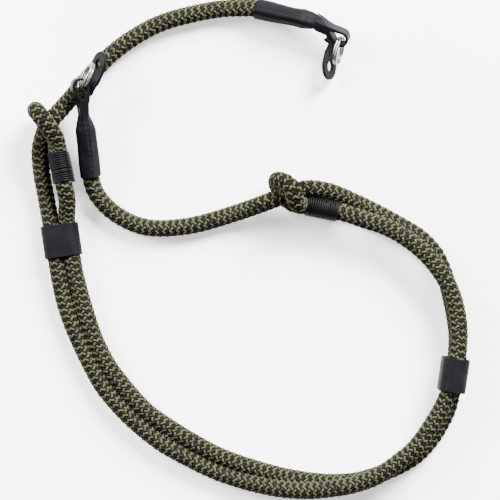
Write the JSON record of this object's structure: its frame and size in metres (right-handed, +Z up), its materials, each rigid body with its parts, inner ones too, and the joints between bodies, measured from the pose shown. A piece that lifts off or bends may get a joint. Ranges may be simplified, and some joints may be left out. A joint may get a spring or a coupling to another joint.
{
  "type": "rope camera strap",
  "caption": "Braided rope camera strap with whipped sliding eyes, leather keepers, leather end tabs, split rings and protector pads, laid flat.",
  "frame": {"origin": "middle of the laid strap on the surface it lies on", "axes": "+Z up from the surface, +Y towards the end of the strap with the right tab, along the laid strap's longest extent"},
  "size_m": [0.2479, 0.2825, 0.0292],
  "materials": {
    "braided_rope": "matt braid of khaki and black yarn",
    "waxed_cord": "waxed, low sheen",
    "leather_keepers": "smooth, semi-matt",
    "leather_tabs": "smooth, semi-matt",
    "leather_pads": "smooth, semi-matt",
    "ring_metal": "bright nickel"
  },
  "bodies": {
    "root": {"rope_a_run": "braided_rope", "rope_a_eye": "braided_rope", "rope_b_run": "braided_rope", "rope_b_eye": "braided_rope", "whipping_left": "waxed_cord", "whipping_right": "waxed_cord", "keeper_left": "leather_keepers", "keeper_right": "leather_keepers", "tab_left": "leather_tabs", "tab_right": "leather_tabs", "split_ring_left": "ring_metal", "split_ring_right": "ring_metal", "protector_left": "leather_pads", "protector_right": "leather_pads"}
  },
  "joints": []
}
